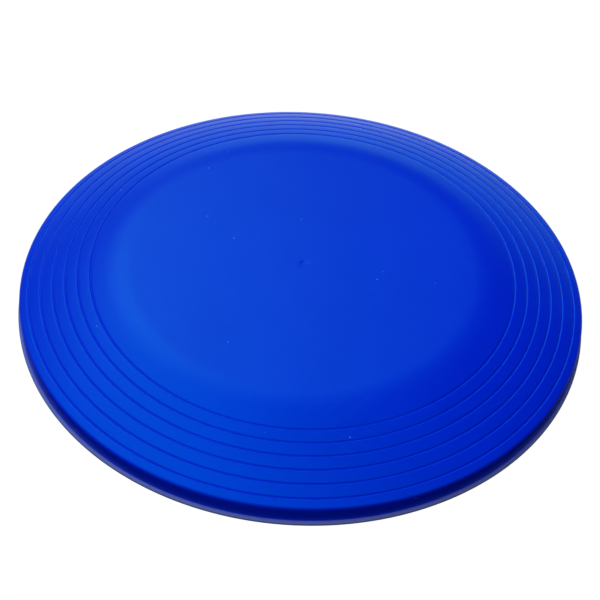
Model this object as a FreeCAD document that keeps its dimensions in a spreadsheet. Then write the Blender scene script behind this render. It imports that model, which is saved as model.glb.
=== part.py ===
"""Flying disc: one injection-moulded plastic shell, drawn as a section and revolved.

Millimetres, +Z up. The origin is the centre of the face that the disc stands on.
"""
import FreeCAD, Part
import math
import os

import Sketcher

NODE = "disc_body"

# Driving dimensions: alias, value, what it measures.
DIMENSIONS = [
    ("overall_diameter", 230.0, "across the lip at the foot of the rim"),
    ("overall_height", 22.4, "from the foot to the top of the flight plate"),
    ("plate_diameter", 137.0, "flat part of the flight plate"),
    ("knee_diameter", 160.0, "where the knee round the plate meets the shoulder"),
    ("knee_angle", 14.6, "slope where the knee meets the shoulder, degrees"),
    ("shoulder_radius", 220.0, "crown of the shoulder, in section"),
    ("skin_thickness", 1.7, "plate, knee and shoulder"),
    ("corner_radius", 1.5, "outer corner between the shoulder and the rim wall"),
    ("wall_inset", 0.8, "widest point of the rim wall, inside the lip"),
    ("neck_inset", 1.2, "foot of the rim wall, inside the lip"),
    ("lip_height", 1.5, "thickness of the lip"),
    ("lip_round", 0.5, "rounding of the lip's two outer edges"),
    ("neck_round", 0.4, "fillet between the rim wall and the lip"),
    ("foot_width", 3.4, "width of the flat ring that the disc stands on"),
    ("foot_round", 0.6, "rounding of the foot's inner edge"),
    ("inner_corner_radius", 3.5, "inside corner between the shoulder and the rim wall"),
    ("ring_diameter", 170.9, "first of the grip rings"),
    ("ring_pitch", 5.03, "from one grip ring to the next"),
    ("ring_width", 1.4, "mouth of each grip ring"),
    ("ring_depth", 0.45, "depth of each grip ring"),
    ("dimple_diameter", 6.0, "shallow sink at the moulding gate"),
    ("dimple_depth", 0.12, "depth of that sink"),
    ("gate_diameter", 2.4, "trimmed gate in the middle of the sink"),
    ("gate_depth", 0.2, "depth of the trimmed gate below the sink"),
]
RING_COUNT = 6
START, END, CENTRE = 1, 2, 3
ORIGIN_POINT, X_AXIS, Z_AXIS = (-1, 1), -1, -2


def cutter_radius(mouth, depth):
    """Radius of the circle that cuts a hollow of this mouth and depth."""
    return (mouth ** 2 / 4 + depth ** 2) / (2 * depth)


size = {alias: value for alias, value, _ in DIMENSIONS}
outer_radius = size["overall_diameter"] / 2
slope = math.radians(size["knee_angle"])
knee_radius = (size["knee_diameter"] - size["plate_diameter"]) / 2 / math.sin(slope)
ring_cut_radius = cutter_radius(size["ring_width"], size["ring_depth"])
sink_radius = cutter_radius(size["dimple_diameter"], size["dimple_depth"])

# The same derived values as expressions on the sheet, for the constraints.
SLOPE = "dim.knee_angle * 1 deg"
KNEE_RADIUS = f"(dim.knee_diameter - dim.plate_diameter) / 2 / sin({SLOPE})"
SHOULDER_X = f"dim.knee_diameter / 2 - dim.shoulder_radius * sin({SLOPE})"
SHOULDER_Z = (
    f"dim.overall_height - {KNEE_RADIUS} * (1 - cos({SLOPE}))"
    f" - dim.shoulder_radius * cos({SLOPE})"
)
RING_CUT_RADIUS = "(dim.ring_width ^ 2 / 4 + dim.ring_depth ^ 2) / (2 * dim.ring_depth)"
SINK_RADIUS = "(dim.dimple_diameter ^ 2 / 4 + dim.dimple_depth ^ 2) / (2 * dim.dimple_depth)"


def vec(x, z):
    return FreeCAD.Vector(x, z, 0)


def make_sheet(doc):
    sheet = doc.addObject("Spreadsheet::Sheet", "dim")
    for row, (alias, value, meaning) in enumerate(DIMENSIONS, start=1):
        sheet.set(f"A{row}", alias)
        sheet.set(f"B{row}", str(value))
        sheet.set(f"C{row}", meaning)
        sheet.setAlias(f"B{row}", alias)
    doc.recompute()
    return sheet


class Section:
    """A sketch in the body's own XZ plane, so its x is the radius and its y the height."""

    def __init__(self, body, name):
        self.sketch = body.newObject("Sketcher::SketchObject", name)
        planes = [f for f in body.Origin.OriginFeatures if f.Role == "XZ_Plane"]
        self.sketch.AttachmentSupport = [(planes[0], "")]
        self.sketch.MapMode = "FlatFace"

    def line(self, start, end):
        return self.sketch.addGeometry(Part.LineSegment(start, end), False)

    def arc(self, centre, radius, first_deg, last_deg):
        circle = Part.Circle(centre, FreeCAD.Vector(0, 0, 1), radius)
        angles = (math.radians(first_deg), math.radians(last_deg))
        return self.sketch.addGeometry(Part.ArcOfCircle(circle, *angles), False)

    def circle(self, centre, radius, construction=False):
        circle = Part.Circle(centre, FreeCAD.Vector(0, 0, 1), radius)
        return self.sketch.addGeometry(circle, construction)

    def tie(self, kind, *where):
        self.sketch.addConstraint(Sketcher.Constraint(kind, *where))

    def bind(self, kind, *where, to):
        """Adds a sized constraint at the drawn value, then binds it to an expression."""
        sized = Sketcher.Constraint(kind, *where, self.measure(kind, *where))
        index = self.sketch.addConstraint(sized)
        self.sketch.setExpression(f"Constraints[{index}]", to)

    def measure(self, kind, *where):
        if kind == "Radius":
            return self.sketch.Geometry[where[0]].Radius
        near = self.point(*where[0:2])
        far = self.point(*where[2:4])
        return (far - near).x if kind == "DistanceX" else (far - near).y

    def point(self, geometry, position):
        if geometry < 0:
            return FreeCAD.Vector(0, 0, 0)
        return self.sketch.getPoint(geometry, position)

    def place(self, geometry, position, x=None, z=None):
        """Binds a point's radius and height, each measured from the origin."""
        if x:
            self.bind("DistanceX", *ORIGIN_POINT, geometry, position, to=x)
        if z:
            self.bind("DistanceY", *ORIGIN_POINT, geometry, position, to=z)


def arc_point(centre, radius, steepness):
    """The point of an arc where its surface slopes down by steepness, in radians."""
    return centre + vec(radius * math.sin(steepness), radius * math.cos(steepness))


def tangent_corner(centre, radius, side_x, corner_radius):
    """Centre and start slope of the corner that leaves an arc and turns down at side_x."""
    corner_x = side_x - corner_radius
    reach = radius - corner_radius
    corner_slope = math.asin((corner_x - centre.x) / reach)
    corner_centre = centre + vec(reach * math.sin(corner_slope), reach * math.cos(corner_slope))
    return corner_centre, corner_slope


def draw_shell(body):
    """The whole section of the disc: over the top, down the rim, and back underneath."""
    section = Section(body, "shell_section")
    height = size["overall_height"]
    skin = size["skin_thickness"]
    plate_x = size["plate_diameter"] / 2
    knee_centre = vec(plate_x, height - knee_radius)
    knee_end = arc_point(knee_centre, knee_radius, slope)
    crown = size["shoulder_radius"]
    crown_centre = knee_end - vec(crown * math.sin(slope), crown * math.cos(slope))
    wall_x = outer_radius - size["wall_inset"]
    corner = size["corner_radius"]
    corner_centre, corner_slope = tangent_corner(crown_centre, crown, wall_x, corner)
    neck = vec(outer_radius - size["neck_inset"], size["lip_height"])
    inner_x = outer_radius - size["foot_width"]
    inner_corner = size["inner_corner_radius"]
    inside_centre, inside_slope = tangent_corner(crown_centre, crown - skin, inner_x, inner_corner)
    crown_deg = 90 - math.degrees(slope)
    inside_deg = 90 - math.degrees(inside_slope)
    corner_deg = 90 - math.degrees(corner_slope)

    plate = section.line(vec(0, height), vec(plate_x, height))
    knee = section.arc(knee_centre, knee_radius, crown_deg, 90)
    shoulder = section.arc(crown_centre, crown, corner_deg, crown_deg)
    bulge = section.arc(corner_centre, corner, 0, corner_deg)
    wall = section.line(corner_centre + vec(corner, 0), neck)
    ledge = section.line(neck, vec(outer_radius, neck.y))
    lip = section.line(vec(outer_radius, neck.y), vec(outer_radius, 0))
    foot = section.line(vec(outer_radius, 0), vec(inner_x, 0))
    inner_wall = section.line(vec(inner_x, 0), inside_centre + vec(inner_corner, 0))
    inner_bend = section.arc(inside_centre, inner_corner, 0, inside_deg)
    inner_shoulder = section.arc(crown_centre, crown - skin, inside_deg, crown_deg)
    inner_knee = section.arc(knee_centre, knee_radius - skin, crown_deg, 90)
    ceiling = section.line(vec(plate_x, height - skin), vec(0, height - skin))
    middle = section.line(vec(0, height - skin), vec(0, height))

    # Smooth joints over the top and, in the same order, along the underside.
    section.tie("Tangent", plate, END, knee, END)
    section.tie("Tangent", knee, START, shoulder, END)
    section.tie("Tangent", shoulder, START, bulge, END)
    section.tie("Tangent", bulge, START, wall, START)
    section.tie("Tangent", ceiling, START, inner_knee, END)
    section.tie("Tangent", inner_knee, START, inner_shoulder, END)
    section.tie("Tangent", inner_shoulder, START, inner_bend, END)
    section.tie("Tangent", inner_bend, START, inner_wall, END)
    # Sharp corners at the neck, the lip, the foot and the axis.
    corners = [
        (wall, ledge),
        (ledge, lip),
        (lip, foot),
        (foot, inner_wall),
        (ceiling, middle),
        (middle, plate),
    ]
    for before, after in corners:
        section.tie("Coincident", before, END, after, START)
    for level in (plate, ledge, foot, ceiling):
        section.tie("Horizontal", level)
    for upright in (lip, inner_wall, middle):
        section.tie("Vertical", upright)
    section.tie("PointOnObject", plate, START, Z_AXIS)
    section.tie("PointOnObject", foot, START, X_AXIS)
    section.tie("Coincident", inner_knee, CENTRE, knee, CENTRE)
    section.tie("Coincident", inner_shoulder, CENTRE, shoulder, CENTRE)

    section.place(plate, START, z="dim.overall_height")
    section.place(knee, CENTRE, x="dim.plate_diameter / 2")
    section.bind("Radius", knee, to=KNEE_RADIUS)
    section.place(knee, START, x="dim.knee_diameter / 2")
    section.bind("Radius", shoulder, to="dim.shoulder_radius")
    section.bind("Radius", bulge, to="dim.corner_radius")
    section.place(bulge, CENTRE, x="dim.overall_diameter / 2 - dim.wall_inset - dim.corner_radius")
    section.place(wall, END, x="dim.overall_diameter / 2 - dim.neck_inset", z="dim.lip_height")
    section.place(lip, END, x="dim.overall_diameter / 2")
    section.bind("DistanceX", foot, END, foot, START, to="dim.foot_width")
    section.bind("Radius", inner_knee, to=f"{KNEE_RADIUS} - dim.skin_thickness")
    section.bind("Radius", inner_bend, to="dim.inner_corner_radius")
    return section.sketch


def draw_rings(body):
    """Six round cutters whose centres follow the crown of the shoulder."""
    section = Section(body, "ring_section")
    crown_x = size["knee_diameter"] / 2 - size["shoulder_radius"] * math.sin(slope)
    crown_z = (
        size["overall_height"]
        - knee_radius * (1 - math.cos(slope))
        - size["shoulder_radius"] * math.cos(slope)
    )
    track_radius = size["shoulder_radius"] + ring_cut_radius - size["ring_depth"]
    track = section.circle(vec(crown_x, crown_z), track_radius, construction=True)
    section.place(track, CENTRE, x=SHOULDER_X)
    section.bind("DistanceY", track, CENTRE, *ORIGIN_POINT, to=f"-({SHOULDER_Z})")
    section.bind("Radius", track, to=f"dim.shoulder_radius + {RING_CUT_RADIUS} - dim.ring_depth")
    for number in range(RING_COUNT):
        ring_x = size["ring_diameter"] / 2 + number * size["ring_pitch"]
        ring_z = crown_z + math.sqrt(track_radius ** 2 - (ring_x - crown_x) ** 2)
        cutter = section.circle(vec(ring_x, ring_z), ring_cut_radius)
        section.tie("PointOnObject", cutter, CENTRE, track)
        section.place(cutter, CENTRE, x=f"dim.ring_diameter / 2 + {number} * dim.ring_pitch")
        section.bind("Radius", cutter, to=RING_CUT_RADIUS)
    return section.sketch


def draw_gate(body):
    """The sink at the middle of the plate, with the trimmed gate in its floor."""
    section = Section(body, "gate_section")
    top = size["overall_height"]
    sink_centre = vec(0, top - size["dimple_depth"] + sink_radius)
    rim_x = size["dimple_diameter"] / 2
    gate_x = size["gate_diameter"] / 2
    step_z = sink_centre.y - math.sqrt(sink_radius ** 2 - gate_x ** 2)
    floor_z = top - size["dimple_depth"] - size["gate_depth"]
    first_deg = -90 + math.degrees(math.asin(gate_x / sink_radius))
    last_deg = -90 + math.degrees(math.asin(rim_x / sink_radius))

    mouth = section.line(vec(0, top), vec(rim_x, top))
    sink = section.arc(sink_centre, sink_radius, first_deg, last_deg)
    side = section.line(vec(gate_x, step_z), vec(gate_x, floor_z))
    floor = section.line(vec(gate_x, floor_z), vec(0, floor_z))
    middle = section.line(vec(0, floor_z), vec(0, top))

    section.tie("Coincident", mouth, END, sink, END)
    section.tie("Coincident", sink, START, side, START)
    section.tie("Coincident", side, END, floor, START)
    section.tie("Coincident", floor, END, middle, START)
    section.tie("Coincident", middle, END, mouth, START)
    section.tie("Horizontal", mouth)
    section.tie("Horizontal", floor)
    section.tie("Vertical", side)
    section.tie("PointOnObject", floor, END, Z_AXIS)
    section.tie("PointOnObject", mouth, START, Z_AXIS)
    section.tie("PointOnObject", sink, CENTRE, Z_AXIS)
    section.place(mouth, END, x="dim.dimple_diameter / 2", z="dim.overall_height")
    section.place(side, END, x="dim.gate_diameter / 2")
    section.bind("Radius", sink, to=SINK_RADIUS)
    section.bind("DistanceY", floor, END, mouth, START, to="dim.dimple_depth + dim.gate_depth")
    return section.sketch


def turn(body, kind, name, sketch):
    """Turns a section a whole turn about Z: a Revolution adds it, a Groove takes it away."""
    feature = body.newObject(f"PartDesign::{kind}", name)
    feature.Profile = sketch
    feature.ReferenceAxis = (sketch, ["V_Axis"])
    feature.Angle = 360
    sketch.Visibility = False
    body.Document.recompute()
    return feature


def ring_edge(shape, radius, height):
    """The name of the circular edge round Z with that radius and height."""
    names = [
        f"Edge{number}"
        for number, edge in enumerate(shape.Edges, start=1)
        if isinstance(edge.Curve, Part.Circle)
        and abs(edge.Curve.Radius - radius) < 0.01
        and abs(edge.Curve.Center.z - height) < 0.01
    ]
    if len(names) != 1:
        raise RuntimeError(f"{len(names)} edges at radius {radius}, height {height}")
    return names[0]


def round_edges(body, name, base, rings, radius):
    """Rounds the circular edges at the given (radius, height) pairs."""
    feature = body.newObject("PartDesign::Fillet", name)
    feature.Base = (base, [ring_edge(base.Shape, *ring) for ring in rings])
    feature.setExpression("Radius", radius)
    body.Document.recompute()
    return feature


def build_disc(doc):
    body = doc.addObject("PartDesign::Body", NODE)
    body.Label = NODE
    shell = turn(body, "Revolution", "shell", draw_shell(body))
    rings = turn(body, "Groove", "grip_rings", draw_rings(body))
    gate = turn(body, "Groove", "gate_mark", draw_gate(body))
    lip_edges = [(outer_radius, size["lip_height"]), (outer_radius, 0)]
    neck_edge = (outer_radius - size["neck_inset"], size["lip_height"])
    foot_edge = (outer_radius - size["foot_width"], 0)
    lip = round_edges(body, "lip_rounds", gate, lip_edges, "dim.lip_round")
    neck = round_edges(body, "neck_fillet", lip, [neck_edge], "dim.neck_round")
    foot = round_edges(body, "foot_round", neck, [foot_edge], "dim.foot_round")
    body.Tip = foot
    doc.recompute()
    steps = (shell, rings, gate, lip, neck, foot)
    return body, steps


def check(doc, body, steps):
    """Stops if a feature failed, a cut took nothing away, or the body isn't one sound solid."""
    for item in doc.Objects:
        if {"Invalid", "Error"} & set(item.State):
            raise RuntimeError(f"{item.Name} failed: {item.State}")
    volumes = [step.Shape.Volume for step in steps]
    if not volumes[0] > volumes[1] > volumes[2]:
        raise RuntimeError(f"a groove cut nothing: {volumes}")
    shape = body.Shape
    if shape.isNull() or not shape.isValid() or len(shape.Solids) != 1:
        raise RuntimeError(f"{body.Label} isn't one valid solid")
    box = shape.optimalBoundingBox(False, False)
    print(f"{body.Label}: {box.XLength:.2f} x {box.YLength:.2f} x {box.ZLength:.2f} mm")
    print("volume after each step, mm3:", [round(volume, 1) for volume in volumes])


def main():
    doc = FreeCAD.newDocument("flying_disc")
    make_sheet(doc)
    body, steps = build_disc(doc)
    check(doc, body, steps)
    os.makedirs("parts", exist_ok=True)
    body.Shape.exportStep(f"parts/{NODE}.step")


main()
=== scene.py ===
"""Flying disc: the looks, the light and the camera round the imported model.

Metres, +Z up, the origin at the middle of the foot ring.
"""

import math

import bpy
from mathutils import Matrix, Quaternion, Vector


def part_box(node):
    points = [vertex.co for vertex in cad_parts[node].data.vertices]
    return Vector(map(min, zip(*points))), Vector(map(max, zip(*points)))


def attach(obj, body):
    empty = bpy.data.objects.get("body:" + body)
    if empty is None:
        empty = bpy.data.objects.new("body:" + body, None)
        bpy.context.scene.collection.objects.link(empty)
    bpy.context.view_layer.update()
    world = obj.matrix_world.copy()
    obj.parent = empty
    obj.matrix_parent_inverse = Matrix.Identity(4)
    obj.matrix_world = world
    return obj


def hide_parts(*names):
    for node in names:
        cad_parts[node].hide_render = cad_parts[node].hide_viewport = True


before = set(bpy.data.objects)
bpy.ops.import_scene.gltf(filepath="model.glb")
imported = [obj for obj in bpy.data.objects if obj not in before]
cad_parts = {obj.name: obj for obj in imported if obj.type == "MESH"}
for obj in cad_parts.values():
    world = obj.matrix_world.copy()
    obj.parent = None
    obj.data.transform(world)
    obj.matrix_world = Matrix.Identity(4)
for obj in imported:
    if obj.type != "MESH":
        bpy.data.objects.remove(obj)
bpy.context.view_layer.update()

NODE = "disc_body"
MM = 0.001
far_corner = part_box(NODE)[1]
OUTER_RADIUS = far_corner.x
HEIGHT = far_corner.z

# The section of the disc.
PLATE_RADIUS = 68.5 * MM
KNEE_END = 80 * MM
KNEE_SLOPE = math.radians(14.6)
CROWN_RADIUS = 220 * MM
SKIN = 1.7 * MM
CORNER_RADIUS = 1.5 * MM
WALL_INSET = 0.8 * MM
NECK_INSET = 1.2 * MM
LIP_HEIGHT = 1.5 * MM
LIP_ROUND = 0.5 * MM
NECK_ROUND = 0.4 * MM
FOOT_WIDTH = 3.4 * MM
FOOT_ROUND = 0.6 * MM
INNER_CORNER_RADIUS = 3.5 * MM
DIMPLE_RADIUS = 3 * MM
DIMPLE_DEPTH = 0.06 * MM
GATE_RADIUS = 1.2 * MM
GATE_DEPTH = 0.12 * MM
GATE_ROUND = 0.05 * MM
# Where the shoulder's points start, a little out from the end of the knee.
SHOULDER_START = KNEE_END + 2 * MM
# How far past upright the corner turns, before the rim wall runs down to the neck.
WALL_TUCK = math.radians(4)
# How far the rim wall's foot stands out from the neck.
WALL_FOOT_STEP = 0.05 * MM
# How far below the inner corner the inner wall ends.
INNER_WALL_GAP = 0.3 * MM
# Small turns that keep one arc of the hollow side from starting on the last point of another.
CROWN_START_TURN = 0.002
KNEE_START_TURN = 0.01

# The grip rings pressed into the shoulder: steep grooves with soft edges.
RING_COUNT = 6
RING_RADIUS = 85.45 * MM
RING_PITCH = 5.03 * MM
RING_DEPTH = 0.45 * MM
RING_WALL_STEEPNESS = 1.15
RING_EDGE_SOFTNESS = 0.25 * MM
# Where the section has points across a groove, out from its middle.
RING_STATIONS = (0, 0.15 * MM, 0.3 * MM, 0.42 * MM, 0.55 * MM, 0.7 * MM, 0.95 * MM)

TURN_STEPS = 320
MERGE = 0.001 * MM
# The upward part of a normal that tells the upper side from the walls and the hollow side.
UPPER_SIDE = 0.2

# Colours of the plastic.
BLUE = (0.0, 0.02, 0.82, 1)
DEEP_BLUE = (0.0, 0.017, 0.78, 1)
RUBBED_BLUE = (0.10, 0.20, 0.80, 1)
# Painted reflection of the pale floor, laid on the lip as a colour.
PAINTED_LIP_REFLECTION = (0.55, 0.25, 0.50, 1)
DUST = (0.45, 0.55, 0.85, 1)
SHEEN_TINT = (0.0, 0.7, 1.0, 1)
# How much of a colour rubs and dust show.
RUBBED_SHARE = 0.03
DUSTY_SHARE = 0.5
# The lip carries a painted reflection of the pale floor, in mottles: the share of the painted
# colour, and how much it varies.
LIP_REFLECTION_SHARE = 0.82
LIP_REFLECTION_VARIATION = 0.36

# Roughness, and what clouds in the dye, rubs, the scuffed lip and dust add to it.
ROUGHNESS = 0.295
CLOUDED_ROUGHNESS = 0.04
RUBBED_ROUGHNESS = 0.04
SCUFFED_ROUGHNESS = 0.25
DUSTY_ROUGHNESS = 0.3

IOR = 1.5

# Sizes of what varies over the plastic.
CLOUD_SIZE = 45 * MM
SWELL_SIZE = 38 * MM
PEEL_SIZE = 1.1 * MM
MOTTLE_SIZE = 2.5 * MM
RUB_LENGTH = 45 * MM
RUB_WIDTH = 0.5 * MM
RUB_PATCH_SIZE = 30 * MM
DUST_SPACING = 15 * MM
DUST_RADIUS = 0.4 * MM
MOTTLED_DETAIL = 3.0
SWELL_DETAIL = 1.0
# Where the dye's clouds start and end, in noise.
CLOUD_EDGES = (0.3, 0.7)
# Rub marks: their direction in degrees, and the noise above which one shows.
RUBS = ((24, 0.66), (-37, 0.68))
RUB_EDGE = 0.08
RUB_PATCH_EDGES = (0.48, 0.62)
# The lip's painted reflection and its scuffed roughness fade out between these heights.
LIP_BAND_FULL_BELOW = LIP_HEIGHT - 0.2 * MM
LIP_BAND_CLEAR_ABOVE = LIP_HEIGHT + 0.5 * MM

# Heights of the relief, in millimetres.
SWELL_RELIEF = 0.05
PEEL_RELIEF = 0.0008
DUST_RELIEF = 0.06

# Round lights: azimuth and elevation of the middle and spread, in degrees, and strength.
SOFTBOX_COLOUR = (0.35, 0.93, 1.0, 1)
KEY_LIGHT = (108, 48, 9, 3.2)
LEFT_LIGHT = (150, 58, 15, 1.4)
OVERHEAD_LIGHT = (220, 62, 25, 1.6)
RIGHT_LIGHT = (315, 46, 15, 0.6)
SOFTBOXES = (KEY_LIGHT, LEFT_LIGHT, OVERHEAD_LIGHT, RIGHT_LIGHT)
# The sweep of white paper behind the disc, above the horizon and below it: elevation of its
# middle, height and width in degrees, and strength.
FAR_PAPER_COLOUR = (0.15, 0.93, 1.0, 1)
FAR_PAPER = (8, 8, 30, 1.0)
NEAR_PAPER_COLOUR = (1, 1, 1, 1)
NEAR_PAPER = (-20, 9, 32, 2.0)

# The paper that the disc stands on: how far it runs and how high its sides are, and its finish.
PAPER_REACH = 6.0
PAPER_ROUGHNESS = 0.9
PAPER_TONE = (0.03, 0.03, 0.03, 1)
PAPER_GLOW = (1, 1, 1, 1)

# The camera: what it looks at, how far off and how high it is, and how it leans.
CAMERA_AIM = Vector((-0.54, 0.64, 0.64)) * MM
CAMERA_DISTANCE = 686.7 * MM
CAMERA_ELEVATION = math.radians(44.8)
CAMERA_ROLL = math.radians(3.6)
CAMERA_LENS = 100.14
CAMERA_SENSOR = 36
CAMERA_NEAREST = 0.01


class Tree:
    """Adds nodes to a node tree and wires them up."""

    def __init__(self, tree):
        self.tree = tree

    def node(self, kind, settings=None, inputs=None, output=0):
        """One node: its settings, then the values or links of its sockets. Gives one output."""
        made = self.tree.nodes.new(kind)
        for name, value in (settings or {}).items():
            setattr(made, name, value)
        for name, value in (inputs or {}).items():
            self.feed(made.inputs[name], value)
        return None if output is None else Value(self, made.outputs[output])

    def feed(self, socket, value):
        if isinstance(value, Value):
            value = value.socket
        if isinstance(value, bpy.types.NodeSocket):
            self.tree.links.new(value, socket)
        else:
            socket.default_value = value

    def maths(self, operation, *operands):
        return self.node("ShaderNodeMath", {"operation": operation}, dict(enumerate(operands)))


class Value:
    """An output socket, with the operators that turn an expression on numbers into Math nodes."""

    def __init__(self, tree, socket):
        self.tree = tree
        self.socket = socket

    def part(self, name):
        """Another output of the same node."""
        return Value(self.tree, self.socket.node.outputs[name])

    def __add__(self, other):
        return self.tree.maths("ADD", self, other)

    def __sub__(self, other):
        return self.tree.maths("SUBTRACT", self, other)

    def __rsub__(self, other):
        return self.tree.maths("SUBTRACT", other, self)

    def __mul__(self, other):
        return self.tree.maths("MULTIPLY", self, other)

    def __truediv__(self, other):
        return self.tree.maths("DIVIDE", self, other)

    def __pow__(self, other):
        return self.tree.maths("POWER", self, other)

    def __gt__(self, other):
        return self.tree.maths("GREATER_THAN", self, other)

    __radd__ = __add__
    __rmul__ = __mul__


class Section:
    """Half of the disc's outline: points of radius and height, from the top of the axis round to
    the hollow side."""

    def __init__(self, radius, height):
        self.points = [(radius, height)]

    def line(self, radius, height, steps=1):
        start_radius, start_height = self.points[-1]
        for step in range(1, steps + 1):
            share = step / steps
            self.points.append((
                start_radius + (radius - start_radius) * share,
                start_height + (height - start_height) * share,
            ))

    def arc(self, centre, radius, first, last, steps):
        """Angles run from the outward horizontal, upwards."""
        for step in range(steps + 1):
            angle = first + (last - first) * step / steps
            self.points.append((
                centre[0] + radius * math.cos(angle),
                centre[1] + radius * math.sin(angle),
            ))


def build_section():
    quarter = math.pi / 2
    section = Section(0, HEIGHT - DIMPLE_DEPTH - GATE_DEPTH)
    # Trimmed gate, sink and flight plate.
    section.line(GATE_RADIUS - GATE_ROUND, HEIGHT - DIMPLE_DEPTH - GATE_DEPTH, steps=3)
    section.line(GATE_RADIUS, HEIGHT - DIMPLE_DEPTH - GATE_DEPTH + GATE_ROUND)
    section.line(GATE_RADIUS, HEIGHT - DIMPLE_DEPTH - GATE_ROUND)
    section.line(GATE_RADIUS + GATE_ROUND, HEIGHT - DIMPLE_DEPTH)
    sink_steps = 8
    for step in range(1, sink_steps + 1):
        share = step / sink_steps
        radius = GATE_RADIUS + GATE_ROUND + (DIMPLE_RADIUS - GATE_RADIUS - GATE_ROUND) * share
        section.line(radius, HEIGHT - DIMPLE_DEPTH * (1 + math.cos(math.pi * share)) / 2)
    section.line(PLATE_RADIUS, HEIGHT, steps=24)
    # Knee and shoulder.
    knee_radius = (KNEE_END - PLATE_RADIUS) / math.sin(KNEE_SLOPE)
    knee = (PLATE_RADIUS, HEIGHT - knee_radius)
    section.arc(knee, knee_radius, quarter, quarter - KNEE_SLOPE, steps=16)
    reach = CROWN_RADIUS - knee_radius
    crown = (knee[0] - reach * math.sin(KNEE_SLOPE), knee[1] - reach * math.cos(KNEE_SLOPE))
    wall = OUTER_RADIUS - WALL_INSET
    corner, corner_slope = corner_of(crown, CROWN_RADIUS, wall, CORNER_RADIUS)
    for station in shoulder_stations():
        section.line(station, shoulder_height(crown, station))
    # Corner, rim wall, neck and lip.
    section.arc(corner, CORNER_RADIUS, quarter - corner_slope, -WALL_TUCK, steps=14)
    neck = OUTER_RADIUS - NECK_INSET
    section.line(neck + WALL_FOOT_STEP, LIP_HEIGHT + 2 * NECK_ROUND, steps=6)
    neck_bend = (neck + NECK_ROUND, LIP_HEIGHT + NECK_ROUND)
    section.arc(neck_bend, NECK_ROUND, 2 * quarter, 3 * quarter, steps=6)
    lip_top = (OUTER_RADIUS - LIP_ROUND, LIP_HEIGHT - LIP_ROUND)
    section.arc(lip_top, LIP_ROUND, quarter, 0, steps=8)
    lip_foot = (OUTER_RADIUS - LIP_ROUND, LIP_ROUND)
    section.arc(lip_foot, LIP_ROUND, 0, -quarter, steps=8)
    # Foot and the hollow side.
    inner = OUTER_RADIUS - FOOT_WIDTH
    section.line(inner + FOOT_ROUND, 0, steps=5)
    foot_bend = (inner + FOOT_ROUND, FOOT_ROUND)
    section.arc(foot_bend, FOOT_ROUND, 3 * quarter, 2 * quarter, steps=8)
    bend, bend_slope = corner_of(crown, CROWN_RADIUS - SKIN, inner, INNER_CORNER_RADIUS)
    section.line(inner, bend[1] - INNER_WALL_GAP, steps=4)
    section.arc(bend, INNER_CORNER_RADIUS, 0, quarter - bend_slope, steps=10)
    crown_start = quarter - bend_slope + CROWN_START_TURN
    section.arc(crown, CROWN_RADIUS - SKIN, crown_start, quarter - KNEE_SLOPE, steps=22)
    knee_start = quarter - KNEE_SLOPE + KNEE_START_TURN
    section.arc(knee, knee_radius - SKIN, knee_start, quarter, steps=14)
    section.line(0, HEIGHT - SKIN, steps=18)
    return section.points


def shoulder_stations():
    """Radii across the shoulder: closer together at each groove."""
    stations = [SHOULDER_START]
    for number in range(RING_COUNT):
        middle = RING_RADIUS + number * RING_PITCH
        inward = [middle - station for station in reversed(RING_STATIONS)]
        outward = [middle + station for station in RING_STATIONS[1:]]
        stations += inward + outward
    return stations


def shoulder_height(crown, radius):
    """The shoulder follows its crown, but each land between two rings is straight in section."""
    number = math.floor((radius - RING_RADIUS) / RING_PITCH)
    if not 0 <= number < RING_COUNT - 1:
        return crown_height(crown, radius)
    start = RING_RADIUS + number * RING_PITCH
    share = (radius - start) / RING_PITCH
    from_height = crown_height(crown, start)
    to_height = crown_height(crown, start + RING_PITCH)
    return (1 - share) * from_height + share * to_height


def crown_height(crown, radius):
    return crown[1] + math.sqrt(CROWN_RADIUS ** 2 - (radius - crown[0]) ** 2)


def corner_of(crown, crown_radius, side, corner_radius):
    """Centre of the corner that leaves the crown and turns down at side, and the slope there."""
    reach = crown_radius - corner_radius
    slope = math.asin((side - corner_radius - crown[0]) / reach)
    return (side - corner_radius, crown[1] + reach * math.cos(slope)), slope


def section_curve(points):
    """The outline as a poly curve in the XZ plane."""
    curve = bpy.data.curves.new("disc_section", "CURVE")
    curve.dimensions = "3D"
    spline = curve.splines.new("POLY")
    spline.points.add(len(points) - 1)
    for point, (radius, height) in zip(spline.points, points):
        point.co = (radius, 0, height, 1)
    section = bpy.data.objects.new("disc_section", curve)
    bpy.context.scene.collection.objects.link(section)
    return section


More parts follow.
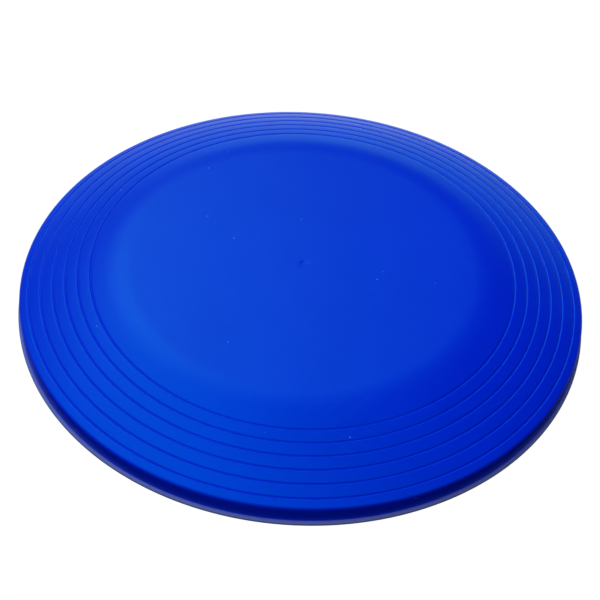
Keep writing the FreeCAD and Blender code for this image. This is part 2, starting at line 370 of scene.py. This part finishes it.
def turning_tree():
    """Turns a section round Z, closes its poles and presses the grip rings into its upper side."""
    tree = bpy.data.node_groups.new("turned_disc", "GeometryNodeTree")
    face = tree.interface
    face.new_socket("Geometry", in_out="INPUT", socket_type="NodeSocketGeometry")
    for name, kind in (
        ("Turn Steps", "NodeSocketInt"),
        ("Ring Radius", "NodeSocketFloat"),
        ("Ring Pitch", "NodeSocketFloat"),
        ("Ring Count", "NodeSocketInt"),
        ("Ring Wall Steepness", "NodeSocketFloat"),
        ("Ring Edge Softness", "NodeSocketFloat"),
        ("Ring Depth", "NodeSocketFloat"),
        ("Plastic", "NodeSocketMaterial"),
    ):
        face.new_socket(name, in_out="INPUT", socket_type=kind)
    face.new_socket("Geometry", in_out="OUTPUT", socket_type="NodeSocketGeometry")
    g = Tree(tree)
    given = g.node("NodeGroupInput")
    # One copy of the section for each step, turned by its index, with faces between neighbours.
    steps = given.part("Turn Steps")
    across = steps + 1
    wire = g.node("GeometryNodeCurveToMesh", inputs={"Curve": given.part("Geometry")})
    count = g.node("GeometryNodeAttributeDomainSize", {"component": "MESH"}, {"Geometry": wire})
    grid = g.node("GeometryNodeMeshGrid", inputs={"Vertices X": count, "Vertices Y": across})
    index = g.node("GeometryNodeInputIndex")
    station = g.maths("FLOOR", (index + 0.5) / across)
    angle = (index - station * across) / steps * math.tau
    position = g.node("GeometryNodeInputPosition")
    outline = g.node(
        "GeometryNodeSampleIndex",
        {"data_type": "FLOAT_VECTOR"},
        {"Geometry": wire, "Value": position, "Index": station},
    )
    radius = g.node("ShaderNodeSeparateXYZ", inputs={"Vector": outline})
    place = g.node("ShaderNodeCombineXYZ", inputs={
        "X": radius * g.maths("COSINE", angle),
        "Y": radius * g.maths("SINE", angle),
        "Z": radius.part("Z"),
    })
    turned = g.node("GeometryNodeSetPosition", inputs={"Geometry": grid, "Position": place})
    closed = g.node("GeometryNodeMergeByDistance", inputs={"Geometry": turned, "Distance": MERGE})
    # Grip rings: straight walls about the nearest ring, which level out softly.
    east = g.node("ShaderNodeSeparateXYZ", inputs={"Vector": position})
    out = (east ** 2 + east.part("Y") ** 2) ** 0.5
    first, pitch = given.part("Ring Radius"), given.part("Ring Pitch")
    number = g.maths("MAXIMUM", g.maths("ROUND", (out - first) / pitch), 0)
    nearest = g.maths("MINIMUM", number, given.part("Ring Count") - 1)
    away = g.maths("ABSOLUTE", out - first - nearest * pitch)
    wall = given.part("Ring Depth") - away * given.part("Ring Wall Steepness")
    hollow = (wall + (wall ** 2 + given.part("Ring Edge Softness") ** 2) ** 0.5) / 2
    normal = g.node("GeometryNodeInputNormal")
    up = g.node("ShaderNodeSeparateXYZ", inputs={"Vector": normal}, output="Z")
    press = hollow * (up > UPPER_SIDE)
    push = g.node("ShaderNodeVectorMath", {"operation": "SCALE"}, {0: normal, "Scale": press * -1})
    pressed = g.node("GeometryNodeSetPosition", inputs={"Geometry": closed, "Offset": push})
    smooth = g.node("GeometryNodeSetShadeSmooth", inputs={"Geometry": pressed})
    real = g.node("GeometryNodeRealizeInstances", inputs={"Geometry": smooth})
    plastic = g.node("GeometryNodeSetMaterial", inputs={
        "Geometry": real,
        "Material": given.part("Plastic"),
    })
    g.node("NodeGroupOutput", inputs={"Geometry": plastic}, output=None)
    return tree


def set_inputs(modifier, values):
    for item in modifier.node_group.interface.items_tree:
        if item.in_out == "INPUT" and item.name in values:
            modifier[item.identifier] = values[item.name]


def make_disc(plastic):
    section = section_curve(build_section())
    turning = section.modifiers.new("turning", "NODES")
    turning.node_group = turning_tree()
    set_inputs(turning, {
        "Turn Steps": TURN_STEPS,
        "Ring Radius": RING_RADIUS,
        "Ring Pitch": RING_PITCH,
        "Ring Count": RING_COUNT,
        "Ring Wall Steepness": RING_WALL_STEEPNESS,
        "Ring Edge Softness": RING_EDGE_SOFTNESS,
        "Ring Depth": RING_DEPTH,
        "Plastic": plastic,
    })
    bpy.context.view_layer.update()
    evaluated = section.evaluated_get(bpy.context.evaluated_depsgraph_get())
    mesh = bpy.data.meshes.new_from_object(evaluated)
    bpy.data.objects.remove(section)
    disc = bpy.data.objects.new("moulded_disc", mesh)
    bpy.context.scene.collection.objects.link(disc)
    return disc


def smooth_step(s, value, start, end):
    """0 at start, 1 at end, and a smooth change between them."""
    return s.node("ShaderNodeMapRange", {"interpolation_type": "SMOOTHSTEP"}, {
        "Value": value,
        "From Min": start,
        "From Max": end,
    })


def noise(s, place, size, detail=2.0):
    """Soft noise between 0 and 1, whose features are about size metres across."""
    return s.node("ShaderNodeTexNoise", inputs={
        "Vector": place,
        "Scale": 1 / size,
        "Detail": detail,
    })


def blend(s, share, first, second):
    """A colour between first and second."""
    return s.node("ShaderNodeMix", {"data_type": "RGBA"}, {0: share, 6: first, 7: second}, output=2)


def hairlines(s, place, turn, rarity):
    """Fine straight rub marks along one direction, in patches."""
    rotation = (0, 0, math.radians(turn))
    turned = s.node("ShaderNodeMapping", inputs={"Vector": place, "Rotation": rotation})
    grain = (1 / RUB_LENGTH, 1 / RUB_WIDTH, 1 / RUB_LENGTH)
    drawn_out = s.node("ShaderNodeMapping", inputs={"Vector": turned, "Scale": grain})
    streak = s.node("ShaderNodeTexNoise", inputs={"Vector": drawn_out, "Scale": 1.0, "Detail": 0.0})
    patch = smooth_step(s, noise(s, place, RUB_PATCH_SIZE), *RUB_PATCH_EDGES)
    return smooth_step(s, streak, rarity, rarity + RUB_EDGE) * patch


def disc_plastic():
    """Glossy moulded plastic, dyed through, with the wear of a disc that has been played with, and
    a painted reflection of the pale floor on its lip.
    """
    material = bpy.data.materials.new("royal_blue_plastic")
    material.use_nodes = True
    s = Tree(material.node_tree)
    shader = material.node_tree.nodes["Principled BSDF"]
    place = s.node("ShaderNodeTexCoord", output="Object")
    height = s.node("ShaderNodeSeparateXYZ", inputs={"Vector": place}, output="Z")
    # Where things are: the lip and foot, which carry a painted reflection of the pale floor and
    # scuffed roughness, the dye's clouds, rubs and dust.
    lip_reflection_and_scuffs = smooth_step(s, height, LIP_BAND_CLEAR_ABOVE, LIP_BAND_FULL_BELOW)
    clouds = noise(s, place, CLOUD_SIZE, MOTTLED_DETAIL)
    peel = noise(s, place, PEEL_SIZE)
    rubs = s.maths("MAXIMUM", *(hairlines(s, place, turn, rarity) for turn, rarity in RUBS))
    to_speck = s.node("ShaderNodeTexVoronoi", inputs={"Vector": place, "Scale": 1 / DUST_SPACING})
    speck = DUST_RADIUS / DUST_SPACING
    dust = smooth_step(s, to_speck, speck, speck / 2)
    # Colour.
    dyed = blend(s, smooth_step(s, clouds, *CLOUD_EDGES), BLUE, DEEP_BLUE)
    rubbed = blend(s, rubs * RUBBED_SHARE, dyed, RUBBED_BLUE)
    mottle = noise(s, place, MOTTLE_SIZE, MOTTLED_DETAIL) - 0.5
    # Painted reflection of the pale floor on the lip, mottled.
    with_lip_reflection = blend(s, lip_reflection_and_scuffs * (LIP_REFLECTION_SHARE + LIP_REFLECTION_VARIATION * mottle), rubbed, PAINTED_LIP_REFLECTION)
    dusty = blend(s, dust * DUSTY_SHARE, with_lip_reflection, DUST)
    s.feed(shader.inputs["Base Color"], dusty)
    # Gloss.
    roughness = ROUGHNESS + CLOUDED_ROUGHNESS * (clouds - 0.5) + RUBBED_ROUGHNESS * rubs
    roughness = roughness + SCUFFED_ROUGHNESS * lip_reflection_and_scuffs + DUSTY_ROUGHNESS * dust
    s.feed(shader.inputs["Roughness"], roughness)
    shader.inputs["IOR"].default_value = IOR
    shader.inputs["Specular Tint"].default_value = SHEEN_TINT
    # Relief, in millimetres.
    swell = noise(s, place, SWELL_SIZE, SWELL_DETAIL)
    relief = swell * SWELL_RELIEF + peel * PEEL_RELIEF + dust * DUST_RELIEF
    bump = s.node("ShaderNodeBump", inputs={"Height": relief, "Distance": MM, "Strength": 1.0})
    s.feed(shader.inputs["Normal"], bump)
    return material


def make_floor():
    """A sheet of white paper on the floor, turned up at its four sides. It lights nothing."""
    mesh = bpy.data.meshes.new("floor")
    reach = PAPER_REACH
    corners = ((-reach, -reach), (reach, -reach), (reach, reach), (-reach, reach))
    points = [(x, y, 0) for x, y in corners] + [(x, y, reach) for x, y in corners]
    sides = [(side, side + 4, (side + 1) % 4 + 4, (side + 1) % 4) for side in range(4)]
    mesh.from_pydata(points, [], [(0, 1, 2, 3)] + sides)
    floor = bpy.data.objects.new("floor", mesh)
    bpy.context.scene.collection.objects.link(floor)
    material = bpy.data.materials.new("white_floor")
    material.use_nodes = True
    nodes = material.node_tree.nodes
    shader = nodes["Principled BSDF"]
    shader.inputs["Base Color"].default_value = PAPER_TONE
    shader.inputs["Roughness"].default_value = PAPER_ROUGHNESS
    shader.inputs["Emission Color"].default_value = PAPER_GLOW
    shader.inputs["Emission Strength"].default_value = 1.0
    mesh.materials.append(material)
    floor.visible_glossy = False
    floor.visible_diffuse = False
    floor.visible_shadow = False


def make_camera():
    camera = bpy.data.objects.new("camera", bpy.data.cameras.new("camera"))
    camera.data.sensor_width = CAMERA_SENSOR
    camera.data.lens = CAMERA_LENS
    camera.data.clip_start = CAMERA_NEAREST
    back = Vector((0, -math.cos(CAMERA_ELEVATION), math.sin(CAMERA_ELEVATION)))
    camera.location = CAMERA_AIM + back * CAMERA_DISTANCE
    camera.rotation_mode = "QUATERNION"
    look = (CAMERA_AIM - camera.location).to_track_quat("-Z", "Y")
    camera.rotation_quaternion = look @ Quaternion((0, 0, 1), CAMERA_ROLL)
    bpy.context.scene.collection.objects.link(camera)
    bpy.context.scene.camera = camera


def make_light():
    """Soft studio light: round lights above, and a low sweep of lit paper behind the disc."""
    world = bpy.data.worlds.new("studio")
    bpy.context.scene.world = world
    world.use_nodes = True
    s = Tree(world.node_tree)
    place = s.node("ShaderNodeTexCoord", output="Object")
    towards = s.node("ShaderNodeVectorMath", {"operation": "NORMALIZE"}, {0: place})
    east = s.node("ShaderNodeSeparateXYZ", inputs={"Vector": towards})
    glow = sum(round_light(s, towards, *box) for box in SOFTBOXES) * (east.part("Z") > 0)
    far = band_light(s, east, *FAR_PAPER)
    near = band_light(s, east, *NEAR_PAPER)
    lit = None
    lights = ((SOFTBOX_COLOUR, glow), (FAR_PAPER_COLOUR, far), (NEAR_PAPER_COLOUR, near))
    for colour, strength in lights:
        light = s.node("ShaderNodeBackground", inputs={"Color": colour, "Strength": strength})
        lit = s.node("ShaderNodeAddShader", inputs={0: lit, 1: light}) if lit else light
    s.feed(world.node_tree.nodes["World Output"].inputs["Surface"], lit)


def round_light(s, towards, azimuth, elevation, spread, strength):
    """A round light with a soft edge."""
    middle = direction(azimuth, elevation)
    near = s.node(
        "ShaderNodeVectorMath",
        {"operation": "DOT_PRODUCT"},
        {0: towards, 1: middle},
        output="Value",
    )
    return strength * s.maths("EXPONENT", (near - 1) / math.radians(spread) ** 2)


def band_light(s, east, elevation, height, width, strength):
    """A band of light behind the disc, along the horizon, with a soft edge."""
    above = (s.maths("ARCSINE", east.part("Z")) - math.radians(elevation)) / math.radians(height)
    aside = s.maths("ARCTAN2", east, east.part("Y")) / math.radians(width)
    return strength * s.maths("EXPONENT", (above ** 2 + aside ** 2) / -2)


def direction(azimuth, elevation):
    """Unit vector; azimuth 0 is +X, 90 is +Y."""
    flat = math.cos(math.radians(elevation))
    turn = math.radians(azimuth)
    return (flat * math.cos(turn), flat * math.sin(turn), math.sin(math.radians(elevation)))


bpy.context.scene.view_settings.view_transform = "Standard"
disc = make_disc(disc_plastic())
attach(disc, "root")
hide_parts(NODE)
make_floor()
make_camera()
make_light()
